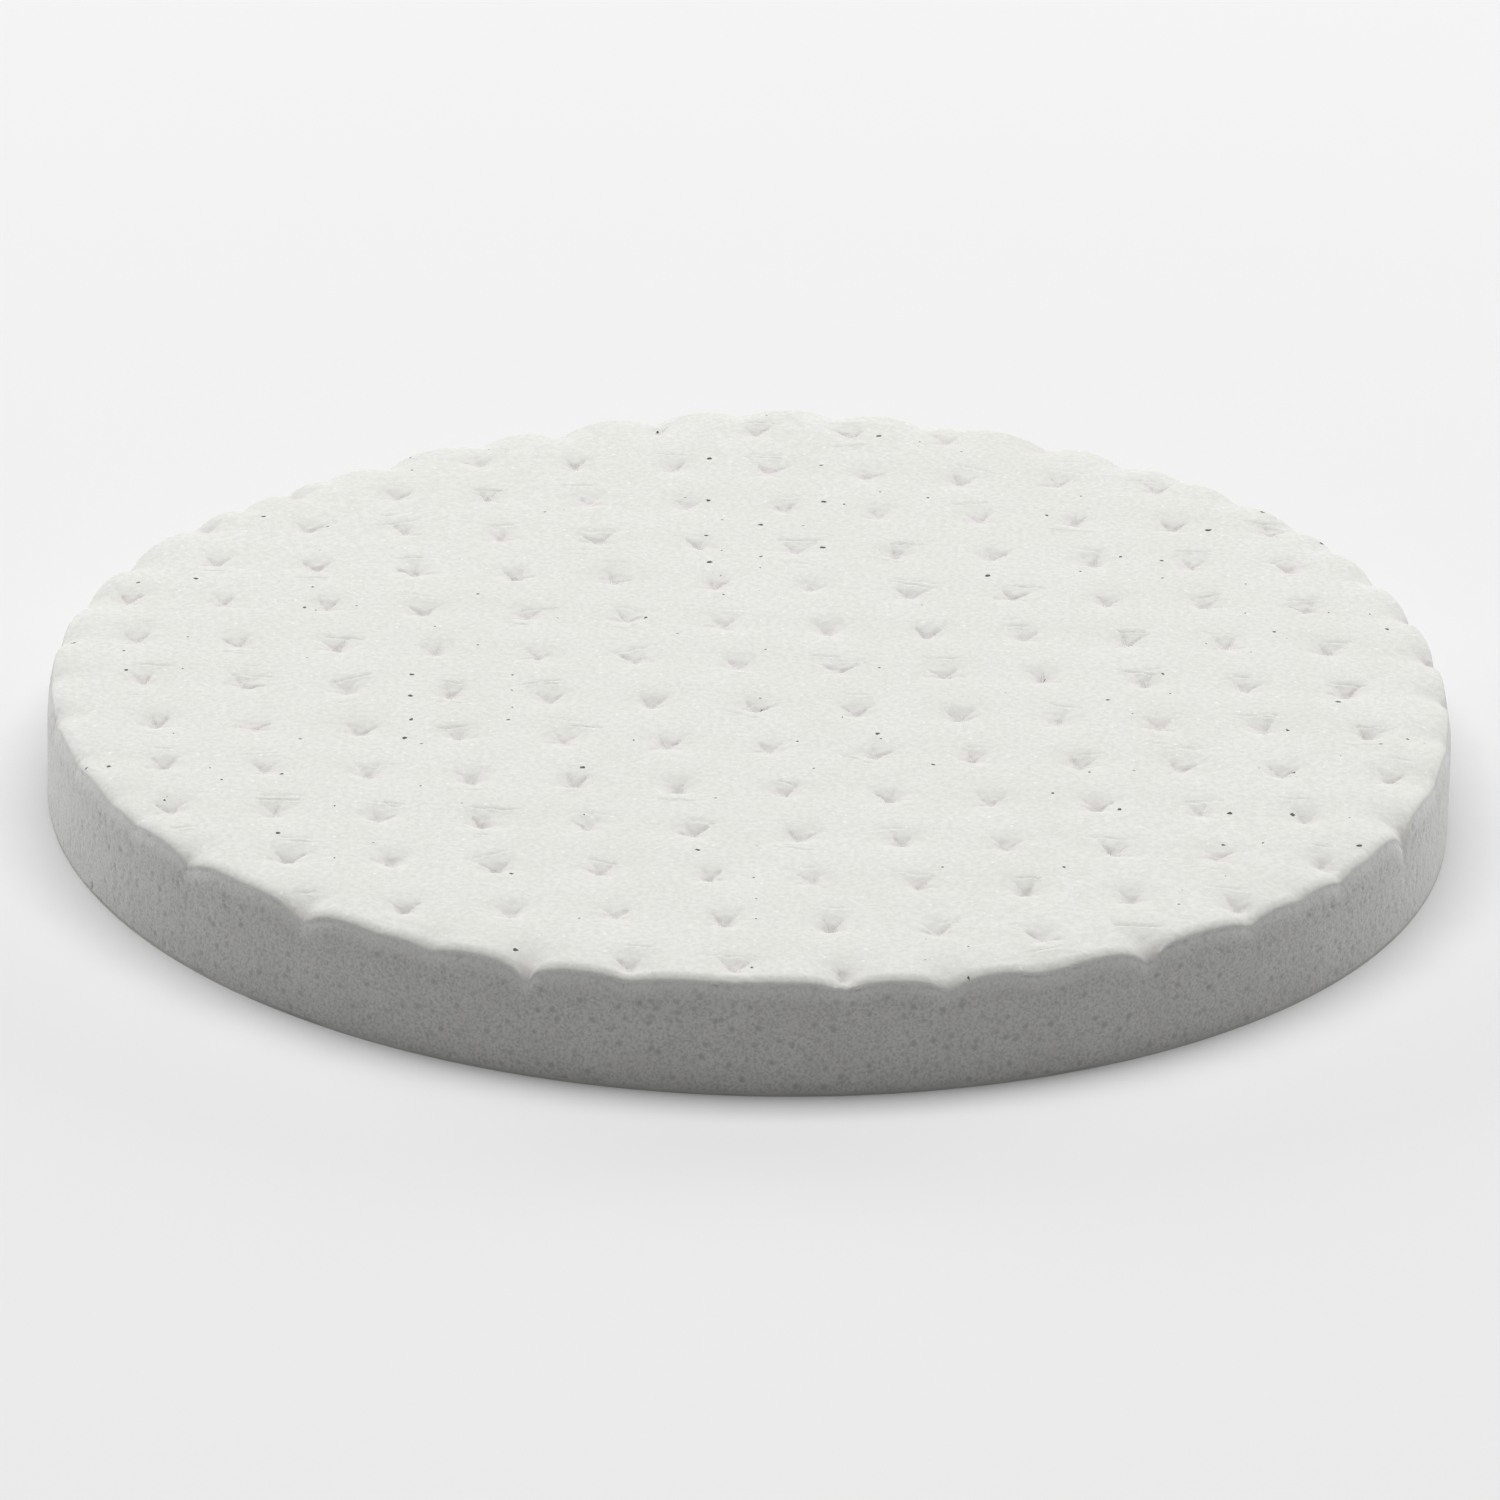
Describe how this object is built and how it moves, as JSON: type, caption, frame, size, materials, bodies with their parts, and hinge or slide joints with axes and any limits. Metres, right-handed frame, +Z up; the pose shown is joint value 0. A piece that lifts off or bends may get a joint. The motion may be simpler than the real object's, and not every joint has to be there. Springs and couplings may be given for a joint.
{
  "type": "polishing pad",
  "caption": "Round flat foam pad with a pit-embossed skin on its working face and a peel-off liner over its adhesive back, for polishing stones.",
  "frame": {"origin": "middle of the liner's underside, the face that the pad lies on", "axes": "+Z up, from the liner towards the embossed working face; +X is close to the direction of the pit rows"},
  "size_m": [0.0762, 0.0762, 0.0066],
  "materials": {
    "liner_paper": "release-coated paper, smooth and faintly glossy",
    "adhesive": "pressure-sensitive adhesive film, milky",
    "foam": "fine-celled foam, cut clean at the edge, matte",
    "facing_skin": "soft embossed foam skin, faintly fibrous, matte"
  },
  "bodies": {
    "liner": {"release_liner": "liner_paper"},
    "pad": {"adhesive_film": "adhesive", "foam_core": "foam", "embossed_facing": "facing_skin"}
  },
  "joints": [
    {"name": "liner_release", "type": "slide", "parent": "liner", "child": "pad", "axis": [0, 0, 1], "range_m": [0, 0.03]}
  ]
}
